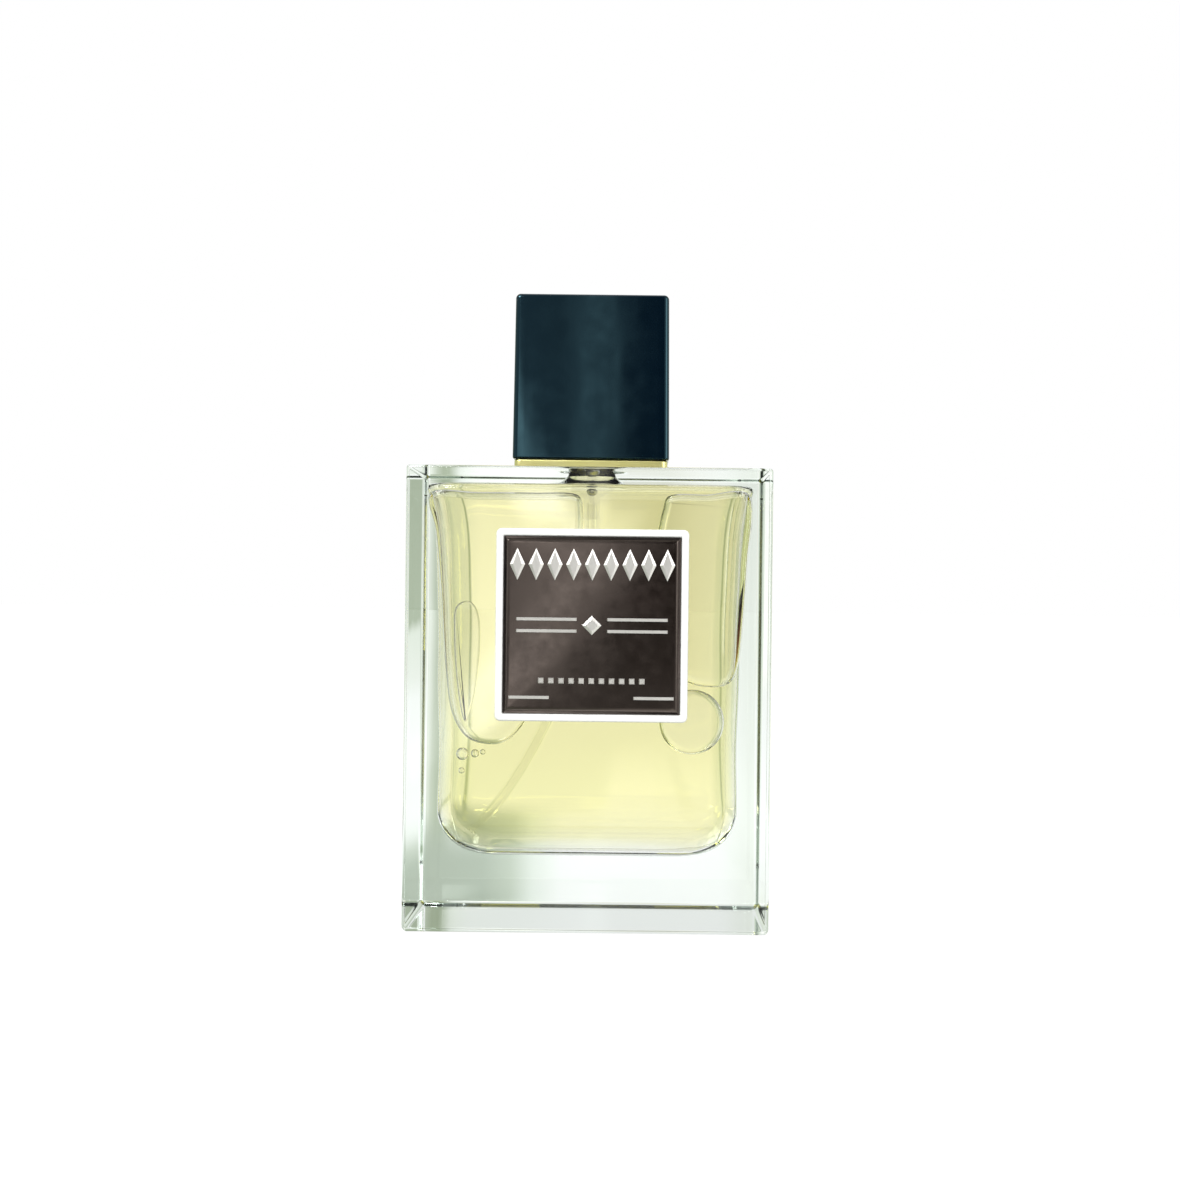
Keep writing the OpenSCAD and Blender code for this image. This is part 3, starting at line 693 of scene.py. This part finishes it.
def label_frame():
    """The white frame: rounded outside, softly rounded towards the panel, with a thin floor."""
    half = FRAME_HIGH.x - LABEL_X
    hole = PANEL_HALF + 0.1
    rounding = 0.22
    outside = block_rings(half, half, 0, FRAME_T, 0.05, 0.32, 1.0, steps=6)
    inside = [
        square_ring(hole + rounding * (1 - s), 0.25, FRAME_T - rounding * (1 - c))
        for s, c in quarter_arc(5)
    ]
    inside.append(square_ring(hole, 0.2, FRAME_FLOOR))
    points, faces = on_front(skin(outside + inside), ADHESIVE_T)
    return mesh_piece(
        "label_frame_white", points, faces, MATERIALS["frame"], "bottle", ["label_frame"]
    )


def label_panel():
    """The dark panel: a sunk edge, a bevel and a face that is crowned a little."""
    half = PANEL_HALF
    step, bevel, skirt = 0.45, 0.35, 0.3
    face = half - step - bevel
    corner_r, crown = 0.12, 0.06
    profile = [
        (half - 0.05, skirt), (half - step + 0.04, skirt - 0.03), (half - step, skirt + 0.02),
        (face + 0.08, PANEL_T - 0.09), (face, PANEL_T - crown),
    ]
    rings = [square_ring(half, 0.15, z) for z in (0.0, skirt - 0.05)]
    rings += [square_ring(reach, corner_r, z) for reach, z in profile]
    rings += [
        square_ring(face * share, corner_r + 2 * (1 - share), PANEL_T - crown * share ** 2)
        for share in (0.97, 0.9, 0.75, 0.5, 0.25)
    ]
    points, faces = on_front(skin(rings), ADHESIVE_T + FRAME_FLOOR)
    return mesh_piece(
        "label_panel_dark", points, faces, MATERIALS["panel"], "bottle", ["label_panel"]
    )


def raised(outline, middle, high, bevel):
    """A raised motif: its outline on z = 0, bevelled towards a smaller one at its top."""
    def ring(inset, z):
        points = []
        for x, y in outline:
            reach = math.hypot(x, y)
            share = 1 - inset / reach
            points.append((middle[0] + x * share, middle[1] + y * share, z))
        return points

    return skin([ring(0, 0), ring(0, high * 0.35), ring(bevel, high)])


def bar_outline(w, h):
    """The corners of a bar, counter-clockwise."""
    return [(w / 2, -h / 2), (w / 2, h / 2), (-w / 2, h / 2), (-w / 2, -h / 2)]


def lozenge_outline(w, h):
    """The corners of a lozenge, counter-clockwise."""
    return [(w / 2, 0), (0, h / 2), (-w / 2, 0), (0, -h / 2)]


def label_ornament():
    """Raised silver motifs in the places of the label's lines of lettering."""
    face = 2 * (PANEL_HALF - 0.8)
    reach = face / 2 - 0.3
    high, sunk = 0.19, 0.06
    tall_motif = high + sunk
    motifs = []
    count, wide, tall = 9, 2.7, 5.7
    pitch = (2 * reach - wide) / (count - 1)
    for i in range(count):
        place = (pitch * (i - (count - 1) / 2), 0.36 * face)
        motifs.append(raised(lozenge_outline(wide, tall), place, tall_motif, 0.55))
    motifs.append(raised(lozenge_outline(0.6 * tall, 0.6 * tall), (0, 0), tall_motif, 0.6))
    long_bar, short_bar, rule = 0.36 * face, 0.24 * face, 0.55
    for x in (-1, 1):
        for y in (-1, 1):
            place = (x * (long_bar / 2 + 0.09 * face), y * 0.035 * face)
            motifs.append(raised(bar_outline(long_bar, rule), place, tall_motif, 0.12))
        place = (x * (reach - short_bar / 2), -0.43 * face)
        motifs.append(raised(bar_outline(short_bar, rule), place, tall_motif, 0.12))
    squares = 11
    for i in range(squares):
        place = (0.6 * face / (squares - 1) * (i - (squares - 1) / 2), -0.33 * face)
        motifs.append(raised(bar_outline(1.0, 1.0), place, tall_motif, 0.2))
    points, faces = on_front(joined(motifs), ADHESIVE_T + FRAME_FLOOR + PANEL_T - sunk)
    return mesh_piece(
        "ornament_silver", points, faces, MATERIALS["silver"], "bottle",
        ["label_ornament"], 15
    )


# ---------------------------------------------------------------- pump
def dip_tube():
    """The curved tube from the housing's tail to the left corner of the floor."""
    top = corner("dip_tube", True).z
    bore, outside = 0.55, 0.92
    tail = corner("pump_housing", False).z
    arc_z = tail - 1
    reach = HALF_W - SIDE_WALL_LOW - 5.2
    drop = arc_z - (BASE_WALL + 2.7)
    bend = (reach ** 2 + drop ** 2) / (2 * reach)
    angle = 2 * math.atan(reach / drop)
    path = [(Vector((0, 0, top)), Vector((1, 0, 0)), Vector((0, 1, 0)))]
    steps = 60
    for step in range(steps + 1):
        a = angle * step / steps
        centre = Vector((-bend * (1 - math.cos(a)), 0, arc_z - bend * math.sin(a)))
        path.append((centre, Vector((math.cos(a), 0, -math.sin(a))), Vector((0, 1, 0))))
    sides = 24
    out = tube_rings(path, outside, sides)
    inn = tube_rings(path, bore, sides)
    points, faces = skin([list(reversed(ring)) for ring in out + inn[::-1]], loop=True)
    return mesh_piece(
        "dip_tube_clear", points, faces, MATERIALS["tube"], "bottle", ["dip_tube"]
    )


def coil_spring(name, node, wire_d, turns, body):
    """A round-wire spring with its ends drawn flat, on a mesh of its own."""
    low, high = corner(node, False), corner(node, True)
    r = high.x - wire_d / 2
    z0, z1 = low.z + wire_d / 2, high.z - wire_d / 2
    steps = 220
    flat_ends = 0.35
    path = []
    for step in range(steps + 1):
        t = step / steps
        turn = 2 * math.pi * turns * t
        eased = t - math.sin(2 * math.pi * t) / (2 * math.pi) * flat_ends
        out = Vector((math.cos(turn), math.sin(turn), 0))
        path.append((out * r + Vector((0, 0, z0 + (z1 - z0) * eased)), out, Vector((0, 0, 1))))
    rings = [list(reversed(ring)) for ring in tube_rings(path, wire_d / 2, 12)]
    points, faces = skin(rings)
    piece = mesh_piece(name, points, faces, MATERIALS["steel"], body, [node])
    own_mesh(piece)
    return piece


def springs():
    """The return spring under the stem's foot and the priming spring over the piston."""
    coil_spring(
        "return_spring_steel", "return_spring", 0.4, 3.8, "bottle",
    )
    coil_spring(
        "priming_spring_steel", "priming_spring", 0.3, 3, "stem",
    )


glass_bottle()
fragrance_liquid()
cap_shell()
collar()
label_adhesive()
label_frame()
label_panel()
label_ornament()
dip_tube()
springs()

CARRIED = {
    "neck_gasket": "foam", "crimp_ferrule": "aluminium", "pump_housing": "housing",
    "stem_guide": "pump", "stem_seal": "rubber", "inlet_ball": "steel", "pump_stem": "pump",
    "stem_pin": "pump", "pump_piston": "pump", "spray_button": "button",
    "nozzle_insert": "nozzle", "cap_liner": "liner",
}
for node, material in CARRIED.items():
    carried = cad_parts[node]
    carried.data.materials.clear()
    carried.data.materials.append(MATERIALS[material])


# ---------------------------------------------------------------- floor, light and camera
# What the rays that leave the object meet: (place, colour) stops over the sideways share of a direction.
# The places in WALL, TABLE and SHADED_TABLE run from a share of -0.5 to 0.5, the others from -1 to 1.
LEFT_CARDS = [
    (0.0, (0.62, 0.68, 0.58)), (0.2, (0.78, 0.83, 0.74)), (0.28, (0.84, 0.88, 0.8)),
    (0.352, (0.9, 0.93, 0.85)), (0.357, (0.42, 0.48, 0.35)), (0.364, (0.42, 0.48, 0.35)),
]
RIGHT_CARDS = [
    (0.585, (0.9, 0.92, 0.87)), (0.635, (0.84, 0.88, 0.8)), (0.648, (0.46, 0.52, 0.4)),
    (0.675, (0.46, 0.52, 0.4)), (0.69, (0.82, 0.86, 0.79)), (0.8, (0.84, 0.88, 0.8)),
    (1.0, (0.9, 0.92, 0.88)),
]
WALL = LEFT_CARDS + [
    (0.372, (1.0, 1.02, 0.98)), (0.385, (1.16, 1.15, 1.12)), (0.425, (1.14, 1.13, 1.08)),
    (0.455, (1.0, 1.0, 0.96)), (0.48, (0.86, 0.85, 0.78)), (0.525, (0.84, 0.83, 0.74)),
    (0.545, (0.98, 0.97, 0.92)), (0.565, (1.0, 1.0, 0.98)),
] + RIGHT_CARDS
TABLE = LEFT_CARDS + [
    (0.372, (0.9, 0.93, 0.86)), (0.385, (0.98, 0.99, 0.97)), (0.45, grey(1.0)),
    (0.565, grey(1.0)),
] + RIGHT_CARDS
FRONT = [
    (0.0, (0.62, 0.66, 0.6)), (0.3, grey(0.6)), (0.43, grey(0.55)), (0.455, grey(0.8)),
    (0.462, grey(1.7)), (0.478, grey(1.4)), (0.486, grey(0.16)), (0.505, grey(0.05)),
    (0.54, grey(0.02)), (0.58, grey(0.5)), (0.64, grey(0.7)), (1.0, grey(0.85)),
]
UPPER_FRONT = [
    (0.0, (0.62, 0.66, 0.6)), (0.3, grey(0.6)), (0.43, grey(0.55)), (0.452, grey(0.4)),
    (0.474, grey(0.36)), (0.4795, grey(0.45)), (0.483, grey(1.5)), (0.4885, grey(1.3)),
    (0.493, grey(0.12)), (0.51, grey(0.02)), (0.54, grey(0.03)), (0.58, grey(0.5)),
    (0.64, grey(0.7)), (1.0, grey(0.85)),
]
GLINT = [(0.472, grey(0.0)), (0.479, grey(2.0)), (0.491, grey(2.8)), (0.498, grey(0.0))]
FRONT_TABLE = [(0.0, grey(0.25)), (0.44, grey(0.25))] + FRONT[3:9] + [
    (0.6, grey(0.25)), (1.0, grey(0.25)),
]
# Dimming over the height of a direction, from straight down at 0 to straight up at 1.
FALL = [
    (0.0, grey(1.0)), (0.5, grey(1.0)), (0.54, grey(0.95)), (0.59, grey(0.85)), (0.8, grey(0.78)),
    (1.0, grey(0.72)),
]
# Painted shadow: the floor near the bottle, on its left, is darker as if in the bottle's shade.
SHADED_TABLE = [
    (0.0, (0.3, 0.34, 0.28)), (0.33, (0.36, 0.41, 0.33)), (0.395, (0.42, 0.48, 0.4)),
    (0.415, (0.56, 0.62, 0.53)), (0.43, (0.84, 0.88, 0.83)), (0.45, grey(1.0)),
    (0.565, grey(1.0)),
] + RIGHT_CARDS


def backdrop_colour(tree, sideways, stops):
    """The backdrop's colour over the sideways share of a direction, 0 straight back."""
    across = spread(tree, sideways, -0.5, 0.5, 0, 1)
    return ramp_colour(tree, across, stops)


# The floor's cards fan out from two fixed places: behind the bottle from under the photo's camera, and
# in front of it from near that camera's mirror image in the label.
FAN_X = 0.008
BACK_FAN_Y = -0.259
FRONT_FAN_Y = 0.227
LEAST_RUN = 0.1


def floor_colour(tree):
    """What the floor glows with for every ray but the camera's own: painted cards of light, and a painted
    shadow near the bottle.
    """
    x, y, _ = split_axes(tree, "Object")
    aside = arithmetic(tree, "SUBTRACT", x, FAN_X)
    away = arithmetic(tree, "MAXIMUM", arithmetic(tree, "ADD", y, -BACK_FAN_Y), LEAST_RUN)
    sideways = arithmetic(tree, "DIVIDE", aside, away)
    shaded = backdrop_colour(tree, sideways, SHADED_TABLE)
    table = backdrop_colour(tree, sideways, TABLE)
    far = backdrop_colour(tree, sideways, WALL)
    # Painted shadow near the bottle, fading into the table further back.
    table = mix_colours(tree, spread(tree, y, 0.06, 0.15, 0, 1, True), shaded, table)
    table = mix_colours(tree, spread(tree, y, 0.35, 1.2, 0, 1, True), table, far)
    forward = arithmetic(tree, "MAXIMUM", arithmetic(tree, "MULTIPLY", y, -1), LEAST_RUN)
    fan = arithmetic(tree, "DIVIDE", aside, arithmetic(tree, "ADD", forward, FRONT_FAN_Y))
    lean = 0.015
    tilt = arithmetic(tree, "DIVIDE", lean, forward)
    across = arithmetic(tree, "ADD", spread(tree, fan, -1, 1, 0, 1), tilt)
    front = ramp_colour(tree, across, FRONT_TABLE)
    return mix_colours(tree, spread(tree, y, -0.4, -0.12, 0, 1, True), front, table)


def pale_floor():
    """A floor that glows: plain white to the camera, and painted cards of light and shade to all other
    rays.
    """
    mesh = bpy.data.meshes.new("floor")
    reach = 40.0
    corners = [(-reach, -reach, 0), (reach, -reach, 0), (reach, reach, 0), (-reach, reach, 0)]
    mesh.from_pydata(corners, [], [(0, 1, 2, 3)])
    floor = bpy.data.objects.new("floor", mesh)
    bpy.context.scene.collection.objects.link(floor)
    below_base = 0.0002
    floor.location.z = -below_base
    material, tree, shader = node_material("glowing_floor")
    shader.inputs["Base Color"].default_value = (0.1, 0.1, 0.1, 1)
    shader.inputs["Roughness"].default_value = 0.9
    shader.inputs["Specular IOR Level"].default_value = 0.0
    shader.inputs["Emission Strength"].default_value = 0.97
    path = tree.nodes.new("ShaderNodeLightPath")
    seen = mix_colours(tree, path.outputs["Is Camera Ray"], floor_colour(tree), grey(1.0))
    tree.links.new(seen, shader.inputs["Emission Color"])
    floor.data.materials.append(material)


def surround_colour(tree):
    """What a ray that misses the floor meets, by its direction."""
    x, y, z = split_axes(tree, "Generated")
    behind = mix_colours(
        tree, spread(tree, z, 0.09, 0.15, 0, 1, True),
        backdrop_colour(tree, x, WALL), backdrop_colour(tree, x, TABLE)
    )
    across = spread(tree, x, -1, 1, 0, 1)
    glint_lean, front_lean = 0.26, -0.3
    slant = arithmetic(tree, "ADD", across, arithmetic(tree, "MULTIPLY", z, glint_lean))
    tilt = arithmetic(tree, "ADD", across, arithmetic(tree, "MULTIPLY", z, front_lean))
    upper = ramp_colour(tree, across, UPPER_FRONT)
    upper = mix_colours(tree, 1, upper, ramp_colour(tree, slant, GLINT), "ADD")
    lower = ramp_colour(tree, tilt, FRONT)
    before = mix_colours(tree, spread(tree, z, 0.05, 0.09, 0, 1, True), lower, upper)
    level = mix_colours(tree, spread(tree, y, -0.25, 0.25, 0, 1, True), before, behind)
    fall = ramp_colour(tree, spread(tree, z, -1, 1, 0, 1), FALL)
    return mix_colours(tree, 1, level, fall, "MULTIPLY")


def surround():
    """A world that is plain white to the camera, and a studio of cards to all other rays."""
    world = bpy.data.worlds.new("surround")
    bpy.context.scene.world = world
    world.use_nodes = True
    tree = world.node_tree
    lit = tree.nodes["Background"]
    tree.links.new(surround_colour(tree), lit.inputs["Color"])
    plain = tree.nodes.new("ShaderNodeBackground")
    plain.inputs["Color"].default_value = (1, 1, 1, 1)
    path = tree.nodes.new("ShaderNodeLightPath")
    choose = tree.nodes.new("ShaderNodeMixShader")
    tree.links.new(path.outputs["Is Camera Ray"], choose.inputs["Fac"])
    tree.links.new(lit.outputs["Background"], choose.inputs[1])
    tree.links.new(plain.outputs["Background"], choose.inputs[2])
    tree.links.new(choose.outputs["Shader"], tree.nodes["World Output"].inputs["Surface"])


def soft_box(name, place, aim, size, power):
    """A soft rectangular lamp."""
    light = bpy.data.lights.new(name, "AREA")
    light.shape = "RECTANGLE"
    light.size, light.size_y = size
    light.energy = power
    lamp = bpy.data.objects.new(name, light)
    bpy.context.scene.collection.objects.link(lamp)
    lamp.location = place
    lamp.rotation_euler = (Vector(aim) - Vector(place)).to_track_quat("-Z", "Y").to_euler()
    lamp.visible_camera = False


def photo_camera():
    """The photograph's viewpoint: straight at the front, from slightly right of its middle."""
    camera = bpy.data.cameras.new("camera")
    camera.sensor_width = 36
    camera.lens = 41
    camera.shift_x = -0.0373
    camera.shift_y = 0.0169
    eye = bpy.data.objects.new("camera", camera)
    bpy.context.scene.collection.objects.link(eye)
    place = (0.0082, -0.259, 0.0583)
    roll = math.radians(0.65)
    look = Matrix.Rotation(math.radians(90), 4, "X") @ Matrix.Rotation(roll, 4, "Z")
    eye.matrix_world = Matrix.Translation(place) @ look
    camera.clip_start = 0.01
    bpy.context.scene.camera = eye


pale_floor()
surround()
middle = (0, 0, 0.06)
soft_box("key", (-0.45, -0.6, 0.75), middle, (0.5, 0.5), 11)
soft_box("fill", (0.7, -0.5, 0.35), middle, (0.5, 0.7), 3)
photo_camera()
bpy.context.scene.view_settings.view_transform = "Standard"
